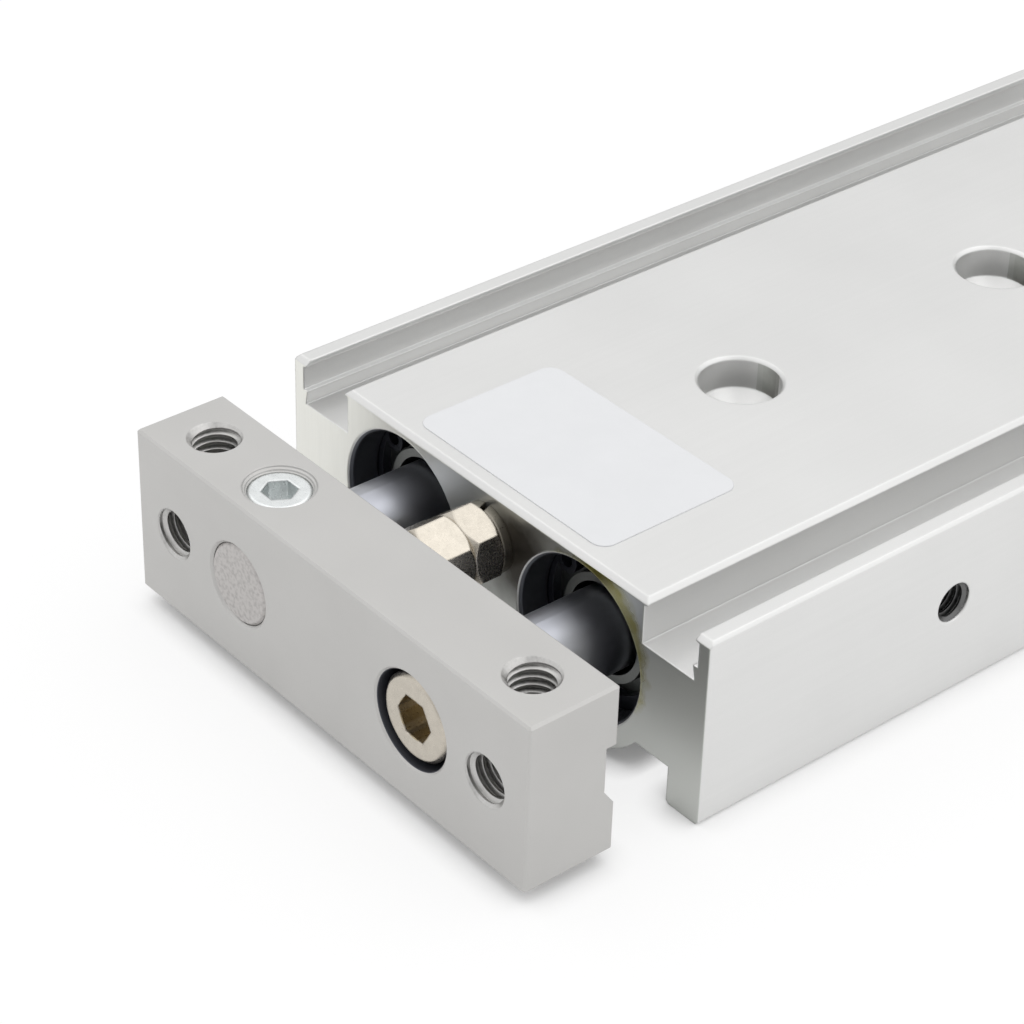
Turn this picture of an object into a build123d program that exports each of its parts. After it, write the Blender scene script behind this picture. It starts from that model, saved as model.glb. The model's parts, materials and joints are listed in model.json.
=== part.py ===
from build123d import *
import os
from math import atan2, cos, degrees, radians, sin, sqrt

# A twin rod pneumatic cylinder: two parallel cylinders in one extruded housing,
# whose rods carry a common tooling plate. It is drawn fully retracted.
# Millimetres. X runs across the housing, Y along the stroke with the plate at -Y, Z up.
# The origin is under the middle of the whole cylinder, on the surface it rests on.
# A station is a distance behind the front face of the housing.

# Driving dimensions: rods and bores
stroke = 50.0
rod_pitch = 25.0
axis_height = 10.25
rod_diameter = 8.0
bore_diameter = 15.0
gland_diameter = 16.0
seat_clearance = 0.05
running_clearance = 0.04
end_clearance = 0.1

# Driving dimensions: housing extrusion
height_over_axis = 9.25
block_reach = 8.7
block_edge_bevel = 0.5
slot_width = 6.45
slot_depth = 4.7
slot_lip_height = 0.7
slot_lip_reach = 0.45
slot_lip_slope = 0.15
slot_ledge_height = 1.5
slot_ledge_reach = 0.6
side_wall = 1.35
leg_width = 4.1
web_height = 3.95
corner_round = 0.3
end_bevel = 0.5
mouth_bevel = 0.35

# Driving dimensions: retaining rings
ring_recess = 3.3
ring_thickness = 1.0
ring_groove_play = 0.1
ring_groove_depth = 0.6
ring_width_thin = 1.0
ring_width_thick = 1.9
ring_lug_radius = 1.35
ring_lug_hole = 1.5
ring_lug_inset = 1.6
ring_lug_angle = 24.0
ring_gap_angle = 11.0
ring_turn = 30.0

# Driving dimensions: rod gland
retainer_thickness = 1.8
retainer_collar_height = 1.4
retainer_collar_diameter = 10.7
retainer_hole_clearance = 0.5
seal_thickness = 3.0
seal_diameter = 13.2
seal_lip_depth = 1.0
seal_lip_width = 1.0
cover_length = 19.8
neck_length = 7.5
neck_diameter = 13.2
neck_bore_diameter = 10.4
neck_bore_length = 6.0
cover_hole_diameter = 2.0
cover_hole_count = 4
o_ring_section = 1.7
o_ring_groove_width = 2.1
cover_o_ring_set_back = 9.0
bumper_thickness = 1.5
bumper_clearance = 0.5
bumper_hole_diameter = 9.2

# Driving dimensions: pistons
piston_length = 9.5
piston_clearance = 0.12
spigot_diameter = 5.0
rivet_diameter = 6.8
rivet_thickness = 1.0
rivet_pocket_depth = 1.3
seal_groove_width = 2.5
seal_groove_depth = 1.9
seal_groove_set_back = 1.4
magnet_width = 3.0
magnet_depth = 1.8
magnet_set_back = 5.2

# Driving dimensions: rear end
nose_length = 0.8
head_cover_length = 8.9
head_groove_width = 4.8
head_groove_depth = 2.1
head_recess_depth = 4.6
head_recess_diameter = 9.2
head_end_land = 0.8
puller_hole_diameter = 2.5
puller_hole_depth = 2.2
rear_recess = 3.0

# Driving dimensions: ports and housing holes
thread_m4 = 4.0
thread_m5 = 5.0
thread_m6 = 6.0
port_set_back = 4.5
rear_port_set_back = 3.2
port_thread = 4.0
port_bevel = 0.1
plug_length = 4.5
plug_inset = 0.3
plug_socket = 2.0
plug_socket_depth = 2.0
passage_diameter = 1.4
ball_hole_diameter = 2.5
ball_inset = 0.6
mount_hole_spacing = 35.0
mount_hole_diameter = 4.3
mount_seat_diameter = 8.0
mount_seat_depth = 3.3
mount_seat_cone = 1.2
mount_bevel = 0.3

# Driving dimensions: plate
plate_width = 56.0
plate_height = 17.5
plate_thickness = 9.7
plate_corner_round = 0.3
plate_edge_bevel = 0.25
tool_hole_spacing = 45.0
tool_hole_bevel = 0.12
top_hole_depth = 5.5
set_screw_bevel = 0.5
set_screw_inset = 0.45
set_screw_socket = 3.0
set_screw_socket_depth = 2.2
groove_top_over_axis = 2.65
groove_floor_below_axis = 2.0
groove_flank_drop = 1.75
groove_depth = 1.25
rod_seat_depth = 2.0
rod_end_inset = 0.05
rod_end_bevel = 0.25

# Driving dimensions: cap screw
cap_head_diameter = 8.5
cap_head_height = 5.0
cap_head_inset = 0.45
cap_pocket_diameter = 9.5
cap_screw_length = 12.0
cap_clear_diameter = 5.5
cap_socket = 4.0
cap_socket_depth = 2.6
cap_edge_round = 0.4

# Driving dimensions: bumper bolt between the rods
bolt_over_axis = 4.25
bolt_hex = 7.0
bolt_head_height = 4.35
bolt_head_tilt = 24.0
bolt_hole_depth = 12.0
bolt_depth = 10.0
hex_bevel = 0.55
nut_thickness = 3.2
nut_tilt = 21.0
washer_thickness = 1.0
washer_diameter = 7.0
washer_gap = 0.6
washer_skew = 20.0
pad_diameter = 4.4
pad_depth = 1.2
pad_proud = 0.4
pad_clearance = 0.05

# Stations that follow from the sizes above
groove_width = ring_thickness + ring_groove_play
retainer_station = ring_recess + groove_width
cover_station = retainer_station + retainer_thickness
shoulder_station = cover_station + cover_length
neck_end_station = shoulder_station + neck_length
bumper_end_station = neck_end_station + bumper_thickness
piston_station = bumper_end_station + end_clearance + stroke
piston_end_station = piston_station + piston_length
rear_bumper_station = piston_end_station + end_clearance
nose_station = rear_bumper_station + bumper_thickness
rear_shoulder_station = nose_station + nose_length
head_cover_end_station = rear_shoulder_station + head_cover_length
rear_groove_end_station = head_cover_end_station + groove_width
body_length = rear_groove_end_station + rear_recess
port_station = shoulder_station + port_set_back
rear_port_station = rear_shoulder_station + rear_port_set_back
passage_station = neck_end_station + passage_diameter / 2
bolt_stack = washer_thickness + nut_thickness + bolt_head_height
plate_gap = bolt_stack + pad_proud + pad_clearance
plate_rear = -plate_gap
plate_front = plate_rear - plate_thickness
front_y = plate_thickness + plate_gap - (body_length + plate_thickness + plate_gap) / 2

# Radii and half widths that follow from the sizes above
rod_radius = rod_diameter / 2
bore_radius = bore_diameter / 2
gland_radius = gland_diameter / 2
cover_radius = gland_radius - seat_clearance
groove_radius = gland_radius + ring_groove_depth
piston_radius = bore_radius - piston_clearance
o_ring_floor = gland_radius - o_ring_section
body_height = axis_height + height_over_axis
block_half = rod_pitch / 2 + block_reach
wall_inner = block_half + slot_width
body_half = wall_inner + side_wall
slot_floor = body_height - slot_depth
plate_bottom = axis_height - plate_height / 2
plate_top = axis_height + plate_height / 2
mount_station = port_station
sides = {"left": -rod_pitch / 2, "right": rod_pitch / 2}


def across(station, x=0.0, z=axis_height):
    """A plane square to the stroke, seen from the front: its x is X and its y is Z."""
    return Plane(origin=(x, front_y + station, z), x_dir=(1, 0, 0), z_dir=(0, -1, 0))


def along(x, z=axis_height):
    """A plane through a lengthwise axis: its x is the station and its y the radius."""
    return Plane(origin=(x, front_y, z), x_dir=(0, 1, 0), z_dir=(1, 0, 0))


def lengthwise(x, z=axis_height):
    return Axis((x, front_y, z), (0, 1, 0))


def outline(points, plane):
    """A closed face through these points of the plane."""
    with BuildSketch(plane) as shape:
        with BuildLine():
            Polyline(*points, close=True)
        make_face()
    return shape.sketch


def turned(points, x, z=axis_height):
    """A solid of revolution from stations and radii, about a lengthwise axis."""
    with BuildPart() as piece:
        revolve(outline(points, along(x, z)), axis=lengthwise(x, z))
    return piece


def keep(piece, name):
    piece.part.label = name
    export_step(piece.part, f"parts/{name}.step")
    print(name, "volume", round(piece.part.volume, 2))


os.makedirs("parts", exist_ok=True)


# Housing: half of the extrusion's section, from the top middle round to the bottom middle
def half_section():
    lip_under = body_height - slot_lip_height
    undercut = block_half - slot_lip_reach
    ledge_top = slot_floor + slot_ledge_height
    leg_inner = body_half - leg_width
    bulge_centre = rod_pitch / 2
    bulge_radius = axis_height
    bulge_reach = sqrt(bulge_radius ** 2 - (axis_height - web_height) ** 2)
    start_angle = degrees(atan2(web_height - axis_height, bulge_reach))
    middle_angle = radians((start_angle - 90) / 2)
    bulge_start = (bulge_centre + bulge_reach, web_height)
    bulge_middle = (
        bulge_centre + bulge_radius * cos(middle_angle),
        axis_height + bulge_radius * sin(middle_angle),
    )
    with BuildLine() as half:
        Polyline(
            (0, body_height),
            (block_half - block_edge_bevel, body_height),
            (block_half, body_height - block_edge_bevel),
            (block_half, lip_under + slot_lip_slope),
            (undercut, lip_under),
            (undercut, slot_floor),
            (wall_inner - slot_ledge_reach / 2, slot_floor),
            (wall_inner - slot_ledge_reach, ledge_top),
            (wall_inner, ledge_top),
            (wall_inner, lip_under),
            (wall_inner - slot_lip_reach, lip_under + slot_lip_slope),
            (wall_inner - slot_lip_reach, body_height),
            (body_half - corner_round, body_height),
            (body_half, body_height - corner_round),
            (body_half, corner_round),
            (body_half - corner_round, 0),
            (leg_inner + corner_round, 0),
            (leg_inner, corner_round),
            (leg_inner, web_height),
            bulge_start,
        )
        ThreePointArc(bulge_start, bulge_middle, (bulge_centre, 0))
        Line((bulge_centre, 0), (0, 0))
    return half.line


# Bore of one cylinder: mouth, ring groove, gland, barrel, rear seat, rear groove, mouth
bore_profile = [
    (0, 0),
    (0, gland_radius + mouth_bevel),
    (mouth_bevel, gland_radius),
    (ring_recess, gland_radius),
    (ring_recess, groove_radius),
    (retainer_station, groove_radius),
    (retainer_station, gland_radius),
    (shoulder_station, gland_radius),
    (shoulder_station, bore_radius),
    (rear_shoulder_station, bore_radius),
    (rear_shoulder_station, gland_radius),
    (head_cover_end_station, gland_radius),
    (head_cover_end_station, groove_radius),
    (rear_groove_end_station, groove_radius),
    (rear_groove_end_station, gland_radius),
    (body_length - mouth_bevel, gland_radius),
    (body_length, gland_radius + mouth_bevel),
    (body_length, 0),
]

# Mounting hole from above: bevel, screw head seat with its cone, through hole
seat_radius = mount_seat_diameter / 2
through_radius = mount_hole_diameter / 2
mount_profile = [
    (0, body_height),
    (seat_radius + mount_bevel, body_height),
    (seat_radius, body_height - mount_bevel),
    (seat_radius, body_height - mount_seat_depth),
    (through_radius, body_height - mount_seat_depth - mount_seat_cone),
    (through_radius, mount_bevel),
    (through_radius + mount_bevel, 0),
    (0, 0),
]

with BuildPart() as housing:
    with BuildSketch(across(0, z=0)):
        with BuildLine():
            add(half_section())
            mirror(about=Plane.YZ)
        make_face()
    extrude(amount=-body_length)
    top_end_edges = housing.edges().filter_by(Axis.X).filter_by_position(Axis.Z, body_height, body_height)
    chamfer(top_end_edges, end_bevel)
    for x in sides.values():
        revolve(outline(bore_profile, along(x)), axis=lengthwise(x), mode=Mode.SUBTRACT)
    for station in (mount_station, mount_station + mount_hole_spacing):
        middle = (0, front_y + station, 0)
        seat_plane = Plane(origin=middle, x_dir=(1, 0, 0), z_dir=(0, -1, 0))
        revolve(outline(mount_profile, seat_plane), axis=Axis(middle, (0, 0, 1)), mode=Mode.SUBTRACT)
    port_depth = body_half - rod_pitch / 2
    for station in (port_station, rear_port_station):
        for side in (1, -1):
            port_plane = Plane(
                origin=(side * body_half, front_y + station, axis_height),
                x_dir=(0, 1, 0),
                z_dir=(side, 0, 0),
            )
            with BuildSketch(port_plane):
                Circle(port_thread / 2)
            extrude(amount=-port_depth, mode=Mode.SUBTRACT)
            rim = housing.edges().filter_by(GeomType.CIRCLE).sort_by_distance(port_plane.origin)[0]
            chamfer(rim, port_bevel)
    # The passages that join the two chambers cross the wall between the bores
    for station in (passage_station, rear_port_station):
        with BuildSketch(Plane(origin=(-rod_pitch / 2, front_y + station, axis_height), x_dir=(0, 1, 0), z_dir=(1, 0, 0))):
            Circle(passage_diameter / 2)
        extrude(amount=rod_pitch, mode=Mode.SUBTRACT)
    # The front passage is drilled from the left side, and a ball closes its outer end
    ball_plane = Plane(origin=(-body_half, front_y + passage_station, axis_height), x_dir=(0, 1, 0), z_dir=(-1, 0, 0))
    with BuildSketch(ball_plane):
        Circle(passage_diameter / 2)
    extrude(amount=-port_depth, mode=Mode.SUBTRACT)
    with BuildSketch(ball_plane):
        Circle(ball_hole_diameter / 2)
    extrude(amount=-ball_inset - ball_hole_diameter, mode=Mode.SUBTRACT)
    with BuildSketch(across(0, z=axis_height + bolt_over_axis)):
        Circle(thread_m4 / 2)
    extrude(amount=-bolt_hole_depth, mode=Mode.SUBTRACT)
keep(housing, "housing")


# Retaining rings: open rings with drilled lugs, thinner towards the gap
def retaining_ring(station, x, turn):
    ring_outer = groove_radius - seat_clearance
    width_change = (ring_width_thick - ring_width_thin) / 2
    inner_radius = ring_outer - (ring_width_thick + ring_width_thin) / 2
    lug_station_radius = groove_radius - ring_lug_inset
    reach = 2 * gland_radius
    gap_side = reach * sin(radians(ring_gap_angle))
    turned_x = (cos(radians(turn)), 0, sin(radians(turn)))
    plane = Plane(origin=(x, front_y + station, axis_height), x_dir=turned_x, z_dir=(0, -1, 0))
    with BuildPart() as ring:
        with BuildSketch(plane):
            Circle(ring_outer)
            with Locations((0, width_change)):
                Circle(inner_radius, mode=Mode.SUBTRACT)
            with PolarLocations(lug_station_radius, 2, 90 - ring_lug_angle, 2 * ring_lug_angle, endpoint=True):
                Circle(ring_lug_radius)
            with BuildLine():
                Polyline((0, 0), (gap_side, reach), (-gap_side, reach), close=True)
            make_face(mode=Mode.SUBTRACT)
            with PolarLocations(lug_station_radius, 2, 90 - ring_lug_angle, 2 * ring_lug_angle, endpoint=True):
                Circle(ring_lug_hole / 2, mode=Mode.SUBTRACT)
        extrude(amount=-ring_thickness)
    return ring


# An o-ring lies in a groove of this floor radius
def o_ring(station, x):
    with BuildPart() as ring:
        with BuildSketch(along(x)):
            with Locations((station, (o_ring_floor + gland_radius) / 2)):
                Circle(o_ring_section / 2 - seat_clearance / 2)
        revolve(axis=lengthwise(x))
    return ring


# Round holes that point outwards from the rod axis at one station
def cut_radial_holes(station, x, depth, diameter):
    centre = Vector(x, front_y + station, axis_height)
    with BuildPart(mode=Mode.PRIVATE) as drills:
        for index in range(cover_hole_count):
            angle = radians(360 * index / cover_hole_count)
            outwards = Vector(cos(angle), 0, sin(angle))
            with BuildSketch(Plane(origin=centre, x_dir=(0, 1, 0), z_dir=outwards)):
                Circle(diameter / 2)
            extrude(amount=depth)
    return drills.part


cover_groove_station = cover_station + cover_o_ring_set_back
hole_radius = rod_radius + running_clearance

for side, x in sides.items():
    keep(retaining_ring(ring_recess + ring_groove_play, x, ring_turn), f"front_retaining_ring_{side}")

    # Seal retainer: a washer with a collar towards the front
    collar_radius = retainer_collar_diameter / 2
    retainer_hole = rod_radius + retainer_hole_clearance
    seal_retainer = turned(
        [
            (retainer_station - retainer_collar_height, retainer_hole),
            (retainer_station - retainer_collar_height, collar_radius),
            (retainer_station, collar_radius),
            (retainer_station, cover_radius),
            (cover_station, cover_radius),
            (cover_station, retainer_hole),
        ],
        x,
    )
    keep(seal_retainer, f"seal_retainer_{side}")

    # Rod seal: a lipped ring in the pocket at the front of the rod cover
    seal_radius = seal_diameter / 2
    seal_back = cover_station + seal_thickness
    lip_valley = (hole_radius + seal_radius) / 2
    rod_seal = turned(
        [
            (cover_station, hole_radius),
            (cover_station, seal_radius),
            (seal_back, seal_radius),
            (seal_back, lip_valley + seal_lip_width / 2),
            (seal_back - seal_lip_depth, lip_valley),
            (seal_back, lip_valley - seal_lip_width / 2),
            (seal_back, hole_radius),
        ],
        x,
    )
    keep(rod_seal, f"rod_seal_{side}")

    # Rod cover: a long plain bearing with an o-ring groove and a necked, drilled end
    neck_bore_station = neck_end_station - neck_bore_length
    with BuildPart() as rod_cover:
        cover_profile = [
            (cover_station, seal_radius),
            (cover_station, cover_radius),
            (cover_groove_station, cover_radius),
            (cover_groove_station, o_ring_floor),
            (cover_groove_station + o_ring_groove_width, o_ring_floor),
            (cover_groove_station + o_ring_groove_width, cover_radius),
            (shoulder_station, cover_radius),
            (shoulder_station, neck_diameter / 2),
            (neck_end_station, neck_diameter / 2),
            (neck_end_station, neck_bore_diameter / 2),
            (neck_bore_station, neck_bore_diameter / 2),
            (neck_bore_station, hole_radius),
            (seal_back, hole_radius),
            (seal_back, seal_radius),
        ]
        revolve(outline(cover_profile, along(x)), axis=lengthwise(x))
        add(cut_radial_holes(port_station, x, gland_radius, cover_hole_diameter), mode=Mode.SUBTRACT)
    keep(rod_cover, f"rod_cover_{side}")
    keep(o_ring(cover_groove_station + o_ring_groove_width / 2, x), f"rod_cover_o_ring_{side}")

    # Rubber bumpers at both ends of the stroke
    for end, station in (("front", neck_end_station), ("rear", rear_bumper_station)):
        bumper = turned(
            [
                (station, bumper_hole_diameter / 2),
                (station, bore_radius - bumper_clearance),
                (station + bumper_thickness, bore_radius - bumper_clearance),
                (station + bumper_thickness, bumper_hole_diameter / 2),
            ],
            x,
        )
        keep(bumper, f"{end}_bumper_{side}")

    # Piston with grooves for its seal and its magnet, riveted on the rod's spigot
    seal_floor = piston_radius - seal_groove_depth
    magnet_floor = piston_radius - magnet_depth
    seal_station = piston_station + seal_groove_set_back
    magnet_station = piston_station + magnet_set_back
    rivet_station = piston_end_station - rivet_pocket_depth
    piston = turned(
        [
            (piston_station, spigot_diameter / 2),
            (piston_station, piston_radius),
            (seal_station, piston_radius),
            (seal_station, seal_floor),
            (seal_station + seal_groove_width, seal_floor),
            (seal_station + seal_groove_width, piston_radius),
            (magnet_station, piston_radius),
            (magnet_station, magnet_floor),
            (magnet_station + magnet_width, magnet_floor),
            (magnet_station + magnet_width, piston_radius),
            (piston_end_station, piston_radius),
            (piston_end_station, rivet_diameter / 2 + seat_clearance),
            (rivet_station, rivet_diameter / 2 + seat_clearance),
            (rivet_station, spigot_diameter / 2),
        ],
        x,
    )
    keep(piston, f"piston_{side}")

    seal_outer = bore_radius - running_clearance
    seal_middle = (seal_floor + seal_outer) / 2
    piston_seal = turned(
        [
            (seal_station, seal_floor),
            (seal_station, seal_middle),
            (seal_station + seal_groove_width / 4, seal_outer),
            (seal_station + seal_groove_width * 3 / 4, seal_outer),
            (seal_station + seal_groove_width, seal_middle),
            (seal_station + seal_groove_width, seal_floor),
        ],
        x,
    )
    keep(piston_seal, f"piston_seal_{side}")

    magnet = turned(
        [
            (magnet_station, magnet_floor),
            (magnet_station, piston_radius),
            (magnet_station + magnet_width, piston_radius),
            (magnet_station + magnet_width, magnet_floor),
        ],
        x,
    )
    keep(magnet, f"piston_magnet_{side}")

    # Head cover: nose, air groove, o-ring groove, front recess and a puller hole behind
    head_groove_station = rear_port_station - head_groove_width / 2
    head_o_ring_station = head_cover_end_station - o_ring_groove_width - head_end_land
    nose_radius = bore_radius - seat_clearance
    recess_end = nose_station + head_recess_depth
    with BuildPart() as head_cover:
        head_profile = [
            (nose_station, head_recess_diameter / 2),
            (nose_station, nose_radius),
            (rear_shoulder_station, nose_radius),
            (rear_shoulder_station, cover_radius),
            (head_groove_station, cover_radius),
            (head_groove_station, cover_radius - head_groove_depth),
            (head_groove_station + head_groove_width, cover_radius - head_groove_depth),
            (head_groove_station + head_groove_width, cover_radius),
            (head_o_ring_station, cover_radius),
            (head_o_ring_station, o_ring_floor),
            (head_o_ring_station + o_ring_groove_width, o_ring_floor),
            (head_o_ring_station + o_ring_groove_width, cover_radius),
            (head_cover_end_station, cover_radius),
            (head_cover_end_station, puller_hole_diameter / 2),
            (head_cover_end_station - puller_hole_depth, puller_hole_diameter / 2),
            (head_cover_end_station - puller_hole_depth, 0),
            (recess_end, 0),
            (recess_end, head_recess_diameter / 2),
        ]
        revolve(outline(head_profile, along(x)), axis=lengthwise(x))
        add(cut_radial_holes(rear_port_station, x, gland_radius, cover_hole_diameter), mode=Mode.SUBTRACT)
    keep(head_cover, f"head_cover_{side}")
    keep(o_ring(head_o_ring_station + o_ring_groove_width / 2, x), f"head_cover_o_ring_{side}")
    keep(retaining_ring(head_cover_end_station, x, -ring_turn), f"rear_retaining_ring_{side}")


# Piston rods. The left one passes through the plate, the right one stops in a seat
def piston_rod(front_station, x, tapped_depth):
    spigot = spigot_diameter / 2
    rivet_start = piston_end_station - rivet_pocket_depth
    points = [
        (front_station, 0),
        (front_station, rod_radius - rod_end_bevel),
        (front_station + rod_end_bevel, rod_radius),
        (piston_station, rod_radius),
        (piston_station, spigot),
        (rivet_start, spigot),
        (rivet_start, rivet_diameter / 2),
        (rivet_start + rivet_thickness, spigot),
        (rivet_start + rivet_thickness, 0),
    ]
    if tapped_depth:
        hole = thread_m5 / 2
        points = [(front_station + tapped_depth, 0), (front_station + tapped_depth, hole), (front_station, hole)] + points[1:]
    return turned(points, x)


rod_seat_station = plate_rear - rod_seat_depth
cap_seat_station = plate_front + cap_head_inset + cap_head_height
cap_screw_end = cap_seat_station + cap_screw_length
tapped_depth = cap_screw_end + rod_end_bevel - rod_seat_station
keep(piston_rod(plate_front + rod_end_inset, sides["left"], 0), "piston_rod_left")
keep(piston_rod(rod_seat_station, sides["right"], tapped_depth), "piston_rod_right")

# Plate: the tooling plate on the rods
screw_hole = thread_m5 / 2
cap_pocket_profile = [
    (plate_front, 0),
    (plate_front, cap_pocket_diameter / 2 + plate_edge_bevel),
    (plate_front + plate_edge_bevel, cap_pocket_diameter / 2),
    (cap_seat_station, cap_pocket_diameter / 2),
    (cap_seat_station, cap_clear_diameter / 2),
    (rod_seat_station, cap_clear_diameter / 2),
    (rod_seat_station, rod_radius + seat_clearance),
    (plate_rear, rod_radius + seat_clearance),
    (plate_rear, 0),
]
rod_hole_profile = [
    (plate_front, 0),
    (plate_front, rod_radius + seat_clearance + plate_edge_bevel),
    (plate_front + plate_edge_bevel, rod_radius + seat_clearance),
    (plate_rear, rod_radius + seat_clearance),
    (plate_rear, 0),
]
tool_hole_profile = [
    (plate_front, 0),
    (plate_front, screw_hole + tool_hole_bevel),
    (plate_front + tool_hole_bevel, screw_hole),
    (plate_rear - tool_hole_bevel, screw_hole),
    (plate_rear, screw_hole + tool_hole_bevel),
    (plate_rear, 0),
]
plate_middle_y = front_y + (plate_front + plate_rear) / 2

with BuildPart() as plate:
    with BuildSketch(Plane.XY.offset(plate_bottom)):
        with Locations((0, plate_middle_y)):
            RectangleRounded(plate_width, plate_thickness, plate_corner_round)
    extrude(amount=plate_height)
    chamfer(plate.faces().filter_by(Axis.Z).edges(), plate_edge_bevel)
    # The groove across the back of the plate has a sloping lower flank
    with BuildSketch(Plane(origin=(-plate_width, front_y, axis_height), x_dir=(0, 1, 0), z_dir=(1, 0, 0))):
        with BuildLine():
            Polyline(
                (plate_rear, groove_top_over_axis),
                (plate_rear - groove_depth, groove_top_over_axis),
                (plate_rear - groove_depth, -groove_floor_below_axis),
                (plate_rear, -groove_floor_below_axis - groove_flank_drop),
                close=True,
            )
        make_face()
    extrude(amount=2 * plate_width, mode=Mode.SUBTRACT)
    revolve(outline(rod_hole_profile, along(sides["left"])), axis=lengthwise(sides["left"]), mode=Mode.SUBTRACT)
    revolve(outline(cap_pocket_profile, along(sides["right"])), axis=lengthwise(sides["right"]), mode=Mode.SUBTRACT)
    for x in (-tool_hole_spacing / 2, tool_hole_spacing / 2):
        revolve(outline(tool_hole_profile, along(x)), axis=lengthwise(x), mode=Mode.SUBTRACT)
    # Holes from above: two for tooling, and one for the set screw on the left rod
    top_holes = (
        (-tool_hole_spacing / 2, screw_hole, tool_hole_bevel, top_hole_depth),
        (tool_hole_spacing / 2, screw_hole, tool_hole_bevel, top_hole_depth),
        (sides["left"], thread_m6 / 2, set_screw_bevel, plate_height / 2),
    )
    for x, hole, bevel, depth in top_holes:
        top_point = (x, plate_middle_y, plate_top)
        points = [(0, 0), (hole + bevel, 0), (hole, -bevel), (hole, -depth), (0, -depth)]
        hole_plane = Plane(origin=top_point, x_dir=(1, 0, 0), z_dir=(0, -1, 0))
        revolve(outline(points, hole_plane), axis=Axis(top_point, (0, 0, 1)), mode=Mode.SUBTRACT)
keep(plate, "plate")

# Set screw on the left rod
set_screw_top = plate_top - set_screw_inset
with BuildPart() as set_screw:
    with BuildSketch(Plane(origin=(sides["left"], plate_middle_y, axis_height + rod_radius))):
        Circle(thread_m6 / 2)
    extrude(amount=set_screw_top - axis_height - rod_radius)
    chamfer(set_screw.edges().group_by(Axis.Z)[-1], plate_edge_bevel)
    with BuildSketch(Plane(origin=(sides["left"], plate_middle_y, set_screw_top))):
        RegularPolygon(set_screw_socket / 2, 6, major_radius=False)
    extrude(amount=-set_screw_socket_depth, mode=Mode.SUBTRACT)
keep(set_screw, "set_screw")

# Socket head cap screw that holds the right rod
cap_top_station = plate_front + cap_head_inset
with BuildPart() as cap_screw:
    cap_profile = [
        (cap_top_station, 0),
        (cap_top_station, cap_head_diameter / 2 - cap_edge_round),
        (cap_top_station + cap_edge_round, cap_head_diameter / 2),
        (cap_seat_station, cap_head_diameter / 2),
        (cap_seat_station, screw_hole),
        (cap_screw_end, screw_hole),
        (cap_screw_end, 0),
    ]
    revolve(outline(cap_profile, along(sides["right"])), axis=lengthwise(sides["right"]))
    with BuildSketch(across(cap_top_station, sides["right"])):
        RegularPolygon(cap_socket / 2, 6, major_radius=False)
    extrude(amount=-cap_socket_depth, mode=Mode.SUBTRACT)
keep(cap_screw, "cap_screw")


# The turned shape that bevels a hexagon's corners, between two stations on the bumper bolt's axis
bolt_height = axis_height + bolt_over_axis


def hexagon_barrel(start, end):
    corner = bolt_hex / sqrt(3)
    points = [
        (start, 0),
        (start, bolt_hex / 2),
        (start + hex_bevel, corner),
        (end - hex_bevel, corner),
        (end, bolt_hex / 2),
        (end, 0),
    ]
    return outline(points, along(0, bolt_height))


nut_station = -washer_thickness - nut_thickness
head_station = nut_station - bolt_head_height
bolt_axis = lengthwise(0, bolt_height)

with BuildPart() as bumper_bolt:
    with BuildSketch(across(head_station, z=bolt_height)):
        RegularPolygon(bolt_hex / 2, 6, major_radius=False, rotation=-bolt_head_tilt)
    extrude(amount=-bolt_head_height)
    revolve(hexagon_barrel(head_station, nut_station), axis=bolt_axis, mode=Mode.INTERSECT)
    shank_profile = [
        (nut_station, 0),
        (nut_station, thread_m4 / 2),
        (bolt_depth, thread_m4 / 2),
        (bolt_depth, 0),
    ]
    revolve(outline(shank_profile, along(0, bolt_height)), axis=bolt_axis)
    with BuildSketch(across(head_station, z=bolt_height)):
        Circle(pad_diameter / 2)
    extrude(amount=-pad_depth, mode=Mode.SUBTRACT)
keep(bumper_bolt, "bumper_bolt")

with BuildPart() as bumper_pad:
    with BuildSketch(across(head_station + pad_depth, z=bolt_height)):
        Circle(pad_diameter / 2)
    extrude(amount=pad_depth + pad_proud)
    chamfer(bumper_pad.edges().group_by(Axis.Y)[0], pad_proud / 2)
keep(bumper_pad, "bumper_pad")

with BuildPart() as lock_nut:
    with BuildSketch(across(nut_station, z=bolt_height)):
        RegularPolygon(bolt_hex / 2, 6, major_radius=False, rotation=-nut_tilt)
        Circle(thread_m4 / 2, mode=Mode.SUBTRACT)
    extrude(amount=-nut_thickness)
    revolve(hexagon_barrel(nut_station, -washer_thickness), axis=bolt_axis, mode=Mode.INTERSECT)
keep(lock_nut, "lock_nut")

with BuildPart() as spring_washer:
    with BuildSketch(across(-washer_thickness, z=bolt_height)):
        Circle(washer_diameter / 2)
        Circle(thread_m4 / 2 + seat_clearance, mode=Mode.SUBTRACT)
    extrude(amount=-washer_thickness)
    # The washer is split by one slanting cut at its top
    cut_height = washer_diameter / 2
    cut_place = (0, front_y - washer_thickness / 2, bolt_height + cut_height / 2)
    with Locations(Location(cut_place, (0, 0, washer_skew))):
        Box(washer_gap, 2 * washer_thickness, cut_height, mode=Mode.SUBTRACT)
keep(spring_washer, "spring_washer")

# Plugs close the two ports on the left side
for end, station in (("front", port_station), ("rear", rear_port_station)):
    plug_plane = Plane(
        origin=(-body_half + plug_inset, front_y + station, axis_height),
        x_dir=(0, 1, 0),
        z_dir=(-1, 0, 0),
    )
    with BuildPart() as port_plug:
        with BuildSketch(plug_plane):
            Circle(port_thread / 2)
        extrude(amount=-plug_length)
        with BuildSketch(plug_plane):
            RegularPolygon(plug_socket / 2, 6, major_radius=False)
        extrude(amount=-plug_socket_depth, mode=Mode.SUBTRACT)
    keep(port_plug, f"{end}_port_plug")

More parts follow.
